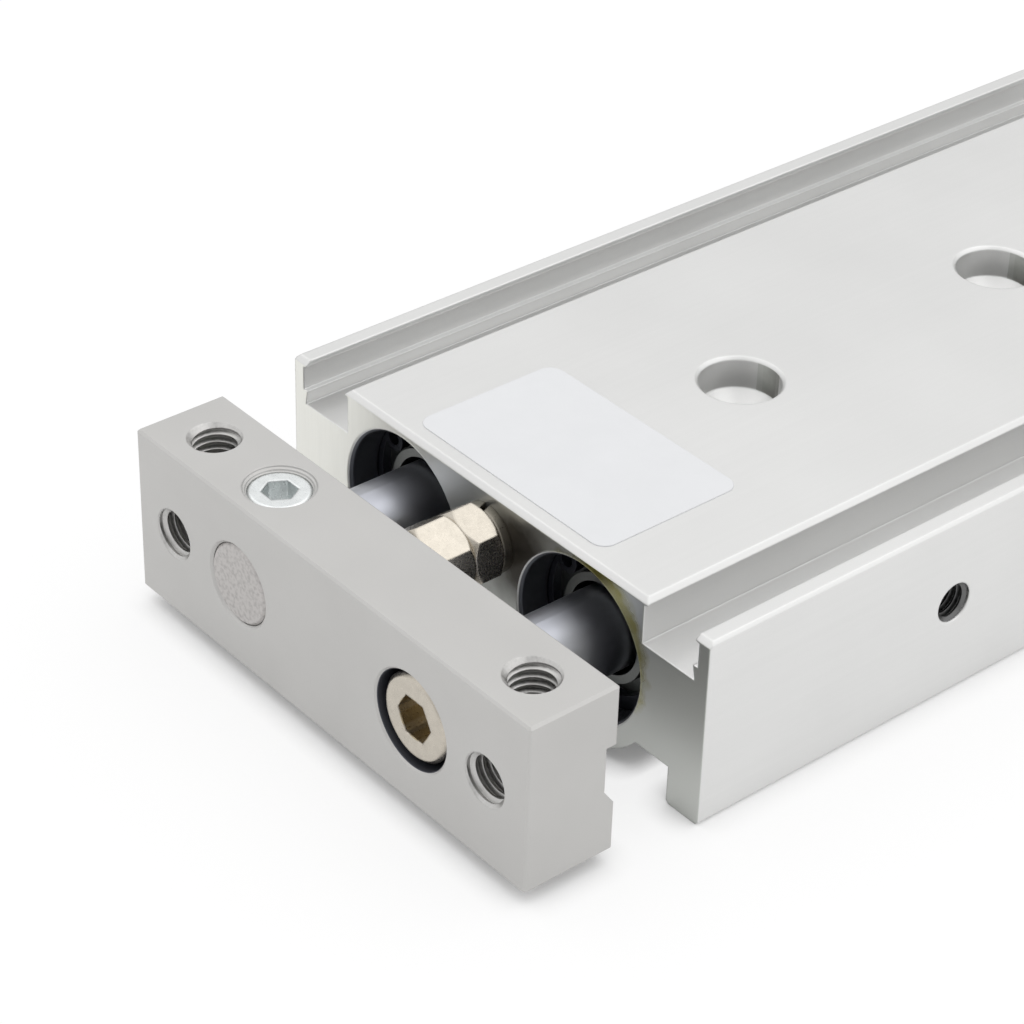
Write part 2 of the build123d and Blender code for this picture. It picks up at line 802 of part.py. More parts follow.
ball_centre = (-body_half + ball_inset + ball_hole_diameter / 2, front_y + passage_station, axis_height)
with BuildPart() as passage_ball:
    with Locations(ball_centre):
        Sphere(ball_hole_diameter / 2)
keep(passage_ball, "passage_ball")
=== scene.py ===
"""Dresses a twin rod pneumatic cylinder in its finishes, and adds its threads, its bare label and a studio stage."""

import json
import math

import bmesh
import bpy
from bpy.props import FloatProperty, FloatVectorProperty, PointerProperty
from mathutils import Matrix, Vector


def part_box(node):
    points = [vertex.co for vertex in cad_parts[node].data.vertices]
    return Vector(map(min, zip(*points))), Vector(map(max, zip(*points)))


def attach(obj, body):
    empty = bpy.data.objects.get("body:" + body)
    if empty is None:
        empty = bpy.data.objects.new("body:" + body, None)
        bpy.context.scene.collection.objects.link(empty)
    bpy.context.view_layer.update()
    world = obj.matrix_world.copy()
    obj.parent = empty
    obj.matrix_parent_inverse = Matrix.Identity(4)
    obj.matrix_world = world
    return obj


bl_info = {
    "name": "Twin Rod Cylinder",
    "version": (1, 0, 0),
    "blender": (4, 5, 0),
    "location": "3D View > Sidebar > Twin Rod Cylinder",
    "description": "Finishes, threads and label of a twin rod pneumatic cylinder, with its stage",
    "category": "Object",
}

MM = 0.001
# Faces that meet at less than this angle shade as one smooth surface
SMOOTH_BELOW = math.radians(28)
# The darkest and the lightest that a noise texture usually gives
NOISE = (0.3, 0.7)
# A Mix node's sockets go by number, because those of its several kinds share their names
FACTOR, VALUE_A, VALUE_B, COLOUR_A, COLOUR_B = 0, 2, 3, 6, 7
BLEND = {"output": 2, "data_type": "RGBA"}
DARKEN = {**BLEND, "blend_type": "MULTIPLY"}

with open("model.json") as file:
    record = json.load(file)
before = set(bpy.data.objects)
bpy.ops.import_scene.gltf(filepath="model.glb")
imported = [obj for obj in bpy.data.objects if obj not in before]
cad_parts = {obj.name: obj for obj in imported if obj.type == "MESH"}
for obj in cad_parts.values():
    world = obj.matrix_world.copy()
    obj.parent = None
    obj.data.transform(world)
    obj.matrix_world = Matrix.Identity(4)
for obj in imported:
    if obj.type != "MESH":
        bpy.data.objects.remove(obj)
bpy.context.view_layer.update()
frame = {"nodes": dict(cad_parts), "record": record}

housing_low, housing_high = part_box("housing")
plate_low, plate_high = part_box("plate")
rod_left_low, rod_left_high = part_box("piston_rod_left")
rod_right_low, rod_right_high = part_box("piston_rod_right")
nut_low, nut_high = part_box("lock_nut")
front_y = housing_low.y
rod_left_x = (rod_left_low.x + rod_left_high.x) / 2
rod_right_x = (rod_right_low.x + rod_right_high.x) / 2
axis_z = (rod_left_low.z + rod_left_high.z) / 2
plate_middle_y = (plate_low.y + plate_high.y) / 2
bolt_x = (nut_low.x + nut_high.x) / 2
bolt_z = (nut_low.z + nut_high.z) / 2


def mount(name):
    """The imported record's mount of that name."""
    return next(m for m in frame["record"]["mounts"] if m["name"] == name)


def linear(colour):
    """An sRGB hex colour, such as E0E0DF, as linear red, green, blue and alpha."""
    channels = [int(colour[i:i + 2], 16) / 255 for i in (0, 2, 4)]
    return tuple(c / 12.92 if c <= 0.04045 else ((c + 0.055) / 1.055) ** 2.4 for c in channels) + (1.0,)


def colour_property(name, description, colour):
    return FloatVectorProperty(
        name=name, description=description, subtype="COLOR", size=4, min=0, max=1, default=linear(colour)
    )


def length_property(name, description, millimetres):
    return FloatProperty(
        name=name, description=description, subtype="DISTANCE", unit="LENGTH", default=millimetres * MM
    )


def angle_property(name, description, degrees):
    return FloatProperty(name=name, description=description, subtype="ANGLE", default=math.radians(degrees))


def power_property(name, description, watts):
    return FloatProperty(name=name, description=description, unit="POWER", min=0, default=watts)


def share_property(name, description, share):
    return FloatProperty(name=name, description=description, subtype="FACTOR", min=0, max=1, default=share)


class TwinRodColours(bpy.types.PropertyGroup):
    """Colours of the cylinder's finishes."""

    housing: colour_property("Housing", "Clear anodised extrusion", "E0E0DF")
    housing_ends: colour_property("Housing ends", "Milled end faces of the housing", "E8E8E2")
    # Painted shade: the ends right of the left bore are darker, standing in for the shadowed table that they mirror
    shaded_end: colour_property("Wiped end", "Thin oil film on the ends, right of the left bore", "C4C6C2")
    # Painted shade: a dark colour on the walls of the bores, which are the housing's own aluminium
    bores: colour_property("Bores", "Oiled walls of the bores", "5C5E64")
    plate: colour_property("Plate", "Satin anodised plate", "C7C6C4")
    rods: colour_property("Rods", "Hard chrome on the piston rods", "BDBFC7")
    rod_end: colour_property("Rod end", "Turned end of the left rod", "C3C0BE")
    nickel: colour_property("Nickel", "Nickel plated cap screw, bumper bolt and lock nut", "C9C2B6")
    socket: colour_property("Socket", "Oiled inside of the cap screw's socket", "B4A78C")
    zinc: colour_property("Zinc", "Zinc plated set screw, plugs and passage ball", "ECEFEF")
    washer: colour_property("Washer", "Oiled spring washer", "8F8A80")
    phosphate: colour_property("Phosphate", "Retaining rings", "3C3E46")
    bearing: colour_property("Bearing alloy", "Seal retainers, covers and pistons", "7C7E7C")
    rubber: colour_property("Rubber", "Seals, bumpers, the bumper pad and the magnets", "17181A")
    grease: colour_property("Grease", "Grease that has crept out beside the right bore", "8E8630")
    # Partly an oil film and partly the nut's painted shadow, on the housing's front beside the bumper bolt
    stain_and_shadow: colour_property("Oil stain", "Oil on the housing's front beside the bumper bolt", "4A443D")
    # Painted shade on the wall of the cap screw's pocket
    pocket: colour_property("Pocket", "Oiled wall of the cap screw's pocket", "4A4C54")
    # Painted shade on the threads of the ports
    port: colour_property("Port", "Oiled threads of the ports", "707070")
    label: colour_property("Label", "Bare polyester label", "D9DADC")
    floor: colour_property("Floor", "Studio table", "F7F7F7")


class TwinRodSizes(bpy.types.PropertyGroup):
    """Sizes of what is added to the cylinder's parts."""

    m5_pitch: length_property("M5 pitch", "Pitch of the plate's threads", 0.8)
    m4_pitch: length_property("M4 pitch", "Pitch of the ports' threads", 0.7)
    top_thread: length_property("Top thread", "Length of thread in the plate's top holes", 5.3)
    front_thread: length_property("Front thread", "Length of thread in the plate's front holes", 9.3)
    port_thread: length_property("Port thread", "Length of thread in a port", 6.5)
    mouth: length_property("Mouth", "How far a thread's bevel is wider than its major radius", 0.1)
    label_width: length_property("Label width", "Size of the label across the housing", 26.0)
    label_length: length_property("Label length", "Size of the label along the housing", 16.4)
    label_corner: length_property("Label corner", "Radius of the label's corners", 1.5)
    label_thickness: length_property("Label thickness", "Thickness of the label", 0.09)
    label_gap: length_property("Label gap", "Distance from the housing's front face to the label", 1.8)
    label_shift: length_property("Label shift", "How far the label sits to the right of the middle", 0.2)


class TwinRodStage(bpy.types.PropertyGroup):
    """Camera, lamps, surround and table."""

    azimuth: angle_property("Azimuth", "Camera's direction", 49.36)
    elevation: angle_property("Elevation", "Camera's height", 34.33)
    roll: angle_property("Roll", "Camera's turn about its view", 1.71)
    distance: length_property("Distance", "From the camera to the height of the aim", 282.78)
    aim_height: length_property("Aim height", "Height of the aim over the table", 10.0)
    slide_right: length_property("Slide right", "How far the camera stands to the right of its aim", 2.25)
    slide_up: length_property("Slide up", "How far the camera stands above its aim", 5.91)
    lens: FloatProperty(name="Lens", description="Focal length on a 36 mm sensor", unit="CAMERA", default=109.94)
    softbox_size: length_property("Softbox size", "Side of the softbox", 1600)
    softbox_power: power_property("Softbox power", "Power of the softbox overhead", 4.2)
    panel_size: length_property("Panel size", "Side of both side panels", 1400)
    left_power: power_property("Left power", "Power of the panel in front on the left", 1.6)
    right_power: power_property("Right power", "Power of the panel behind on the right", 3.2)
    surround: FloatProperty(name="Surround", description="Strength of the plain room round it", min=0, default=0.75)
    floor_glow: share_property("Floor glow", "Share of the floor's white that shadows leave", 0.8)
    mirrored_glow: share_property("Mirrored glow", "The same share, as metal mirrors it", 0.58)
    contact: length_property("Contact shadow", "Width of the dark seam where the cylinder rests", 3.0)


def add_node(tree, kind, inputs=(), output=0, **settings):
    """Adds a node and returns one of its outputs. settings are the node's own properties, and inputs gives its sockets
    values or links, in their order or by key. A Map Range takes value, from low, from high, to low, to high."""
    made = tree.nodes.new(kind)
    for name, value in settings.items():
        setattr(made, name, value)
    for key, value in inputs.items() if isinstance(inputs, dict) else enumerate(inputs):
        if isinstance(value, bpy.types.NodeSocket):
            tree.links.new(value, made.inputs[key])
        else:
            made.inputs[key].default_value = value
    return made.outputs[output] if made.outputs else made


def per_metre(millimetres):
    """The texture scale at which a pattern in metres repeats about every so many millimetres."""
    return 1 / (millimetres * MM)


def start_material(name, colour):
    """A material without nodes, its tree, and the object's own coordinates in metres."""
    material = bpy.data.materials.new(name)
    material.use_nodes = True
    material.diffuse_color = colour
    tree = material.node_tree
    tree.nodes.clear()
    return material, tree, add_node(tree, "ShaderNodeTexCoord", output="Object")


def end_material(tree, inputs, relief, depth, edge, samples=6):
    """Joins one Principled shader with these inputs to the material's output. relief is a pattern that stands up by
    depth, and edge is the radius that sharp edges seem to have, both in millimetres."""
    rounded = add_node(tree, "ShaderNodeBevel", {"Radius": edge * MM}, samples=samples)
    normal = add_node(tree, "ShaderNodeBump", {"Height": relief, "Distance": depth * MM, "Normal": rounded})
    shader = add_node(tree, "ShaderNodeBsdfPrincipled", {**inputs, "Normal": normal})
    add_node(tree, "ShaderNodeOutputMaterial", (shader,))


def axis_distance(tree, place, point, across=(1, 0, 1)):
    """Distance in metres from an axis through a point. across has a 1 for each coordinate that counts."""
    flat = add_node(tree, "ShaderNodeVectorMath", (place, across), operation="MULTIPLY")
    centre = tuple(p * a for p, a in zip(point, across))
    return add_node(tree, "ShaderNodeVectorMath", (flat, centre), "Value", operation="DISTANCE")


def facing(tree, axis_name):
    """How squarely the true surface faces along X, Y or Z, from -1 to 1."""
    normal = add_node(tree, "ShaderNodeNewGeometry", output="True Normal")
    local = add_node(
        tree, "ShaderNodeVectorTransform", (normal,), vector_type="NORMAL", convert_from="WORLD", convert_to="OBJECT"
    )
    return add_node(tree, "ShaderNodeSeparateXYZ", (local,), axis_name)


def smudge(tree, place, noise, centre, waver, full, gone, strength):
    """How much a smudge on the front face covers: strength inside the radius full, nothing past the radius gone. Its
    edge wavers by up to waver. These three are in millimetres."""
    away = axis_distance(tree, place, centre)
    wave = add_node(tree, "ShaderNodeMapRange", (noise, *NOISE, -waver * MM, waver * MM))
    wavy = add_node(tree, "ShaderNodeMath", (away, wave), operation="ADD")
    fade = add_node(tree, "ShaderNodeMapRange", (wavy, full * MM, gone * MM, strength, 0.0))
    front = add_node(tree, "ShaderNodeMapRange", (facing(tree, "Y"), -0.97, -0.9, 1.0, 0.0))
    return add_node(tree, "ShaderNodeMath", (front, fade), operation="MULTIPLY")


def dress(material, *nodes):
    """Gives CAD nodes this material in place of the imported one."""
    for name in nodes:
        slots = frame["nodes"][name].data.materials
        slots.clear()
        slots.append(material)


def anodised_extrusion(colours):
    """Aluminium 6063, extruded, matt etched and clear anodised: a pale satin with faint die lines along its length.
    Its ends are milled, painted shade darkens its bores and most of its ends, oil and the nut's painted shadow darken
    the front beside the nut, and grease has crept out beside the right bore."""
    material, tree, place = start_material("anodised aluminium extrusion", colours.housing)

    # Long die lines 0.5 mm apart and an etched grain of 0.12 mm, both drawn coarser than real ones so that they show
    die_line = tuple(map(per_metre, (0.5, 90, 0.5)))
    lengthwise = add_node(tree, "ShaderNodeMapping", {"Vector": place, "Scale": die_line})
    die_lines = add_node(tree, "ShaderNodeTexNoise", {"Vector": lengthwise, "Scale": 1.0, "Detail": 3.0})
    clouds = add_node(tree, "ShaderNodeTexNoise", {"Vector": place, "Scale": per_metre(16), "Detail": 2.0})
    grain = add_node(tree, "ShaderNodeTexNoise", {"Vector": place, "Scale": per_metre(0.12), "Detail": 2.0})
    cloudy = add_node(tree, "ShaderNodeMapRange", (clouds, *NOISE, 0.96, 1.0))
    lined = add_node(tree, "ShaderNodeMapRange", (die_lines, *NOISE, 0.985, 1.0))
    shade = add_node(tree, "ShaderNodeMath", (cloudy, lined), operation="MULTIPLY")
    skin = add_node(tree, "ShaderNodeMix", {FACTOR: 1.0, COLOUR_A: colours.housing, COLOUR_B: shade}, **DARKEN)

    # Milled end faces: short arcs of a face mill 0.25 mm apart, with painted shade over most of them, right of the left
    # bore
    squarely = add_node(tree, "ShaderNodeMath", (facing(tree, "Y"),), operation="ABSOLUTE")
    end = add_node(tree, "ShaderNodeMapRange", (squarely, 0.9, 0.97, 0.0, 1.0))
    mill_mark = tuple(map(per_metre, (0.25, 4, 6)))
    sweep = add_node(tree, "ShaderNodeMapping", {"Vector": place, "Scale": mill_mark})
    arcs = add_node(tree, "ShaderNodeTexNoise", {"Vector": sweep, "Scale": 1.0, "Detail": 2.0})
    cuts = add_node(tree, "ShaderNodeMapRange", (arcs, *NOISE, 0.97, 1.0))
    milled = add_node(tree, "ShaderNodeMix", {FACTOR: 1.0, COLOUR_A: colours.housing_ends, COLOUR_B: cuts}, **DARKEN)
    across = add_node(tree, "ShaderNodeSeparateXYZ", (place,), "X")
    # Painted shade fades in from 11 mm to 3 mm left of the middle, and is full from there to the right end
    shade_begins, shade_full = -11 * MM, -3 * MM
    end_shade = add_node(tree, "ShaderNodeMapRange", (across, shade_begins, shade_full, 0.0, 1.0))
    milled = add_node(tree, "ShaderNodeMix", {FACTOR: end_shade, COLOUR_A: milled, COLOUR_B: colours.shaded_end}, **BLEND)
    colour = add_node(tree, "ShaderNodeMix", {FACTOR: end, COLOUR_A: skin, COLOUR_B: milled}, **BLEND)

    # Painted shade in the bores: everything inside this radius, round either axis, is darkened
    bore_radius, clear_of_bore = 8.2 * MM, 8.25 * MM
    left = axis_distance(tree, place, (rod_left_x, 0, axis_z))
    right = axis_distance(tree, place, (rod_right_x, 0, axis_z))
    nearest = add_node(tree, "ShaderNodeMath", (left, right), operation="MINIMUM")
    bore = add_node(tree, "ShaderNodeMapRange", (nearest, bore_radius, clear_of_bore, 1.0, 0.0))
    colour = add_node(tree, "ShaderNodeMix", {FACTOR: bore, COLOUR_A: colour, COLOUR_B: colours.bores}, **BLEND)

    # Oil and the nut's painted shadow: thickest beside the nut, on the side towards the right bore
    puddles = add_node(tree, "ShaderNodeTexNoise", {"Vector": place, "Scale": per_metre(3), "Detail": 3.0})
    beside_nut = (bolt_x + 3.8 * MM, 0, bolt_z + 0.5 * MM)
    # Painted shadow of the nut, together with an oil film
    stain_and_shadow = smudge(tree, place, puddles, beside_nut, waver=0.7, full=2.4, gone=6.0, strength=0.93)
    colour = add_node(tree, "ShaderNodeMix", {FACTOR: stain_and_shadow, COLOUR_A: colour, COLOUR_B: colours.stain_and_shadow}, **BLEND)

    # Grease: a smear past the upper right of the right bore's mouth, thick in some places and thin in others
    drips = add_node(tree, "ShaderNodeTexNoise", {"Vector": place, "Scale": per_metre(2.6), "Detail": 3.0})
    beside_bore = (rod_right_x + 1.6 * MM, 0, axis_z + 1.7 * MM)
    smear = smudge(tree, place, drips, beside_bore, waver=0.5, full=6.9, gone=8.0, strength=1.0)
    thick = add_node(tree, "ShaderNodeMapRange", (puddles, 0.38, 0.6, 0.65, 0.92))
    smear = add_node(tree, "ShaderNodeMath", (smear, thick), operation="MULTIPLY")
    colour = add_node(tree, "ShaderNodeMix", {FACTOR: smear, COLOUR_A: colour, COLOUR_B: colours.grease}, **BLEND)

    # The skin is a clear oxide over metal, and the milled ends show more of the metal. Grease shines
    metallic = add_node(tree, "ShaderNodeMapRange", (end, 0.0, 1.0, 0.75, 0.9))
    milled_roughness, greasy_roughness = 0.34, 0.16
    rough = add_node(tree, "ShaderNodeMapRange", (grain, *NOISE, 0.34, 0.44))
    rough = add_node(tree, "ShaderNodeMix", {FACTOR: end, VALUE_A: rough, VALUE_B: milled_roughness})
    rough = add_node(tree, "ShaderNodeMix", {FACTOR: smear, VALUE_A: rough, VALUE_B: greasy_roughness})
    grain_height = 0.4
    fine = add_node(tree, "ShaderNodeMath", (grain, grain_height), operation="MULTIPLY")
    relief = add_node(tree, "ShaderNodeMath", (fine, die_lines), operation="ADD")
    inputs = {"Base Color": colour, "Metallic": metallic, "Roughness": rough}
    end_material(tree, inputs, relief, depth=0.006, edge=0.3, samples=8)
    return material


def anodised_plate(colours):
    """Aluminium 6061, milled, blasted fine and clear anodised: an even grey satin with a fine grain. Painted shade
    darkens the wall of the cap screw's pocket."""
    material, tree, place = start_material("anodised aluminium plate", colours.plate)

    # A blasted grain of 0.1 mm, drawn coarser than a real one so that it shows
    grain = add_node(tree, "ShaderNodeTexNoise", {"Vector": place, "Scale": per_metre(0.1), "Detail": 3.0})
    clouds = add_node(tree, "ShaderNodeTexNoise", {"Vector": place, "Scale": per_metre(9), "Detail": 2.0})
    fine = add_node(tree, "ShaderNodeMapRange", (grain, *NOISE, 0.95, 1.0))
    broad = add_node(tree, "ShaderNodeMapRange", (clouds, *NOISE, 0.96, 1.0))
    shade = add_node(tree, "ShaderNodeMath", (fine, broad), operation="MULTIPLY")
    skin = add_node(tree, "ShaderNodeMix", {FACTOR: 1.0, COLOUR_A: colours.plate, COLOUR_B: shade}, **DARKEN)
    # Painted shade on the wall of the cap screw's pocket
    pocket_radius, clear_of_pocket = 4.8 * MM, 4.82 * MM
    right = axis_distance(tree, place, (rod_right_x, 0, axis_z))
    pocket = add_node(tree, "ShaderNodeMapRange", (right, pocket_radius, clear_of_pocket, 1.0, 0.0))
    colour = add_node(tree, "ShaderNodeMix", {FACTOR: pocket, COLOUR_A: skin, COLOUR_B: colours.pocket}, **BLEND)

    # Turning rings in the bevel over the set screw, four times as deep as the grain, and drawn coarser than real ones,
    # 0.24 mm apart, so that they show
    bevel_radius, clear_of_bevel = 3.45 * MM, 3.5 * MM
    screw = axis_distance(tree, place, (rod_left_x, plate_middle_y, 0), (1, 1, 0))
    turns = add_node(tree, "ShaderNodeMath", (screw, 2 * math.pi * per_metre(0.24)), operation="MULTIPLY")
    rings = add_node(tree, "ShaderNodeMath", (turns,), operation="SINE")
    near = add_node(tree, "ShaderNodeMapRange", (screw, bevel_radius, clear_of_bevel, 4.0, 0.0))
    rings = add_node(tree, "ShaderNodeMath", (rings, near), operation="MULTIPLY")
    relief = add_node(tree, "ShaderNodeMath", (grain, rings), operation="ADD")
    rough = add_node(tree, "ShaderNodeMapRange", (grain, *NOISE, 0.46, 0.56))
    inputs = {"Base Color": colour, "Metallic": 0.75, "Roughness": rough}
    end_material(tree, inputs, relief, depth=0.008, edge=0.1)
    return material


def hard_chrome(colours):
    """Carbon steel, ground, hard chrome plated and polished: a dark sheen under an oil film. Its end is turned."""
    material, tree, place = start_material("hard chrome on steel", colours.rods)

    # A patchy oil film, and in the turned end pits of 0.42 mm, drawn coarser than real ones so that they show
    film = add_node(tree, "ShaderNodeTexNoise", {"Vector": place, "Scale": per_metre(3.6), "Detail": 1.0})
    pits = add_node(tree, "ShaderNodeTexNoise", {"Vector": place, "Scale": per_metre(0.42), "Detail": 5.0})
    end = add_node(tree, "ShaderNodeMapRange", (facing(tree, "Y"), -0.7, -0.6, 1.0, 0.0))
    shade = add_node(tree, "ShaderNodeMapRange", (pits, 0.35, 0.55, 0.8, 1.0))
    worn = add_node(tree, "ShaderNodeMix", {FACTOR: 1.0, COLOUR_A: colours.rod_end, COLOUR_B: shade}, **DARKEN)
    colour = add_node(tree, "ShaderNodeMix", {FACTOR: end, COLOUR_A: colours.rods, COLOUR_B: worn}, **BLEND)
    end_roughness = 0.5
    rough = add_node(tree, "ShaderNodeMapRange", (film, 0.35, 0.65, 0.34, 0.42))
    rough = add_node(tree, "ShaderNodeMix", {FACTOR: end, VALUE_A: rough, VALUE_B: end_roughness})
    relief = add_node(tree, "ShaderNodeMath", (pits, end), operation="MULTIPLY")
    end_material(tree, {"Base Color": colour, "Metallic": 1.0, "Roughness": rough}, relief, depth=0.02, edge=0.1)
    return material


def plated_steel(name, colour, roughness, oiled=None):
    """Carbon steel, cold headed and plated: a soft bright skin with small dents. oiled gives the x, z, radius and
    colour of a socket that holds oil."""
    material, tree, place = start_material(name, colour)
    # Dents of 0.9 mm and a plated grain of 0.18 mm, drawn coarser than a real one so that it shows
    dents = add_node(tree, "ShaderNodeTexNoise", {"Vector": place, "Scale": per_metre(0.9), "Detail": 3.0})
    grain = add_node(tree, "ShaderNodeTexNoise", {"Vector": place, "Scale": per_metre(0.18), "Detail": 2.0})
    shade = add_node(tree, "ShaderNodeMapRange", (dents, *NOISE, 0.9, 1.0))
    skin = add_node(tree, "ShaderNodeMix", {FACTOR: 1.0, COLOUR_A: colour, COLOUR_B: shade}, **DARKEN)
    if oiled:
        x, z, radius, oil_colour = oiled
        middle = axis_distance(tree, place, (x, 0, z))
        inside = add_node(tree, "ShaderNodeMapRange", (middle, radius, radius + 0.06 * MM, 1.0, 0.0))
        skin = add_node(tree, "ShaderNodeMix", {FACTOR: inside, COLOUR_A: skin, COLOUR_B: oil_colour}, **BLEND)
    grain_height = 0.15
    fine = add_node(tree, "ShaderNodeMath", (grain, grain_height), operation="MULTIPLY")
    relief = add_node(tree, "ShaderNodeMath", (dents, fine), operation="ADD")
    rough = add_node(tree, "ShaderNodeMapRange", (grain, *NOISE, roughness - 0.05, roughness + 0.07))
    end_material(tree, {"Base Color": skin, "Metallic": 1.0, "Roughness": rough}, relief, depth=0.014, edge=0.28)
    return material


def cut_metal(name, colour, roughness, grain_sizes):
    """Metal that a tool has cut. Grains that are short along the part look like turning rings, and even ones like the
    torn flanks of a tapped thread."""
    material, tree, place = start_material(name, colour)
    stretched = add_node(tree, "ShaderNodeMapping", {"Vector": place, "Scale": tuple(map(per_metre, grain_sizes))})
    grain = add_node(tree, "ShaderNodeTexNoise", {"Vector": stretched, "Scale": 1.0, "Detail": 2.0})
    shade = add_node(tree, "ShaderNodeMapRange", (grain, *NOISE, 0.85, 1.0))
    skin = add_node(tree, "ShaderNodeMix", {FACTOR: 1.0, COLOUR_A: colour, COLOUR_B: shade}, **DARKEN)
    rough = add_node(tree, "ShaderNodeMapRange", (grain, *NOISE, roughness - 0.06, roughness + 0.08))
    end_material(tree, {"Base Color": skin, "Metallic": 1.0, "Roughness": rough}, grain, depth=0.01, edge=0.1)
    return material


def mottled(name, colour, metallic, grain_size, darkest, smooth, rough, depth):
    """A dull skin with even grains of a size and depth in millimetres: phosphated steel, rubber or film. The grains
    darken the colour down to darkest, and the roughness goes from smooth to rough."""
    material, tree, place = start_material(name, colour)
    grain = add_node(tree, "ShaderNodeTexNoise", {"Vector": place, "Scale": per_metre(grain_size), "Detail": 3.0})
    shade = add_node(tree, "ShaderNodeMapRange", (grain, *NOISE, darkest, 1.0))
    skin = add_node(tree, "ShaderNodeMix", {FACTOR: 1.0, COLOUR_A: colour, COLOUR_B: shade}, **DARKEN)
    roughness = add_node(tree, "ShaderNodeMapRange", (grain, *NOISE, smooth, rough))
    inputs = {"Base Color": skin, "Metallic": metallic, "Roughness": roughness}
    end_material(tree, inputs, grain, depth, edge=0.1)
    return material


def add_piece(name, shaped, material, body):
    """Makes an object of a bmesh, in the shared frame, that rides on a body."""
    mesh = bpy.data.meshes.new(name)
    shaped.to_mesh(mesh)
    shaped.free()
    mesh.materials.append(material)
    for polygon in mesh.polygons:
        polygon.use_smooth = True
    mesh.set_sharp_from_angle(angle=SMOOTH_BELOW)
    piece = bpy.data.objects.new(name, mesh)
    bpy.context.scene.collection.objects.link(piece)
    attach(piece, body)


def placing(origin, x, y, z):
    """The matrix that puts something at origin with these three axes."""
    return Matrix.Translation(origin) @ Matrix((x, y, z)).transposed().to_4x4()


def out_of_mouth(origin, outwards):
    """The matrix that turns Z so that it points out of a hole's mouth at origin."""
    z = Vector(outwards).normalized()
    x = z.orthogonal().normalized()
    return placing(origin, x, z.cross(x), z)


def threaded_wall(major_radius, pitch, depth, mouth):
    """The wall of a tapped hole, a closed sleeve: a 60 degree thread that its bevelled mouth cuts off. Z points out."""
    sides = 72
    # A 60 degree thread: its height, and the shares of a pitch where its crest ends and its root starts and ends
    height = 0.5413 * pitch
    crest_end, root_start, root_end = 0.25, 0.5625, 0.6875
    profile = ((0.0, height), (crest_end, height), (root_start, 0.0), (root_end, 0.0))
    mouth_radius = major_radius + mouth
    outer = mouth_radius + 0.02 * MM
    turns = math.ceil(depth / pitch) + 2
    rows = [(turn + share, cut) for turn in range(-1, turns) for share, cut in profile]
    count = len(rows)
    shaped = bmesh.new()
    columns = []
    for side in range(sides):
        angle = 2 * math.pi * side / sides
        column = []
        for share, cut in rows:
            z = min(max(pitch * (share + side / sides), 0.0), depth)
            radius = max(major_radius - cut, mouth_radius - z)
            if z == depth:
                radius = major_radius - height
            column.append(shaped.verts.new((radius * math.cos(angle), radius * math.sin(angle), -z)))
        for z in (depth, 0.0):
            column.append(shaped.verts.new((outer * math.cos(angle), outer * math.sin(angle), -z)))
        columns.append(column)
    for side in range(sides):
        a = columns[side]
        b = columns[(side + 1) % sides]
        # Where the ring closes, the thread has climbed by one pitch
        shift = len(profile) if side == sides - 1 else 0
        for i in range(count - 1):
            if i + 1 + shift < count:
                shaped.faces.new((a[i], a[i + 1], b[i + 1 + shift], b[i + shift]))
        shaped.faces.new((a[count - 1], a[count], b[count], b[count - 1]))
        shaped.faces.new((a[count], a[count + 1], b[count + 1], b[count]))
        shaped.faces.new((a[count + 1], a[0], b[0], b[count + 1]))
    same_point = 0.0005 * MM
    bmesh.ops.remove_doubles(shaped, verts=shaped.verts, dist=same_point)
    bmesh.ops.dissolve_degenerate(shaped, edges=shaped.edges, dist=same_point)
    bmesh.ops.recalc_face_normals(shaped, faces=shaped.faces)
    return shaped


def rounded_rectangle(width, length, corner, steps=8):
    """Corner points of a flat rounded rectangle about the origin."""
    points = []
    for quarter, (sx, sy) in enumerate(((1, 1), (-1, 1), (-1, -1), (1, -1))):
        centre = Vector((sx * (width / 2 - corner), sy * (length / 2 - corner)))
        for step in range(steps + 1):
            angle = math.pi / 2 * (quarter + step / steps)
            points.append(centre + corner * Vector((math.cos(angle), math.sin(angle))))
    return points


class TWINROD_OT_finish_housing(bpy.types.Operator):
    """Gives the housing its anodised skin, milled ends, grease, and painted shade in its bores, on its ends and beside
    the nut
    """

    bl_idname = "twin_rod.finish_housing"
    bl_label = "Finish Housing"

    def execute(self, context):
        dress(anodised_extrusion(context.scene.twin_rod_colours), "housing")
        return {"FINISHED"}


class TWINROD_OT_finish_plate(bpy.types.Operator):
    """Gives the plate its satin anodised skin"""

    bl_idname = "twin_rod.finish_plate"
    bl_label = "Finish Plate"

    def execute(self, context):
        dress(anodised_plate(context.scene.twin_rod_colours), "plate")
        return {"FINISHED"}


class TWINROD_OT_finish_rods(bpy.types.Operator):
    """Gives both piston rods hard chrome and a turned end"""

    bl_idname = "twin_rod.finish_rods"
    bl_label = "Finish Rods"

    def execute(self, context):
        dress(hard_chrome(context.scene.twin_rod_colours), "piston_rod_left", "piston_rod_right")
        return {"FINISHED"}


class TWINROD_OT_finish_fasteners(bpy.types.Operator):
    """Gives the screws, the nut, the washer and the plugs their plating"""

    bl_idname = "twin_rod.finish_fasteners"
    bl_label = "Finish Fasteners"

    def execute(self, context):
        colours = context.scene.twin_rod_colours
        # Nickel: a warm, soft shine, browner where the socket holds oil
        socket_radius = 2.05 * MM
        oiled = (rod_right_x, axis_z, socket_radius, colours.socket)
        dress(plated_steel("nickel plated cap screw", colours.nickel, 0.3, oiled), "cap_screw")
        dress(plated_steel("nickel plated steel", colours.nickel, 0.26), "bumper_bolt", "lock_nut")
        # Spring steel, rolled and oiled: a dull brownish grey
        dress(plated_steel("oiled spring steel", colours.washer, 0.32), "spring_washer")
        # Zinc, clear passivated: a cool, pale shine
        zinc = plated_steel("zinc plated steel", colours.zinc, 0.3)
        dress(zinc, "set_screw", "front_port_plug", "rear_port_plug", "passage_ball")
        return {"FINISHED"}


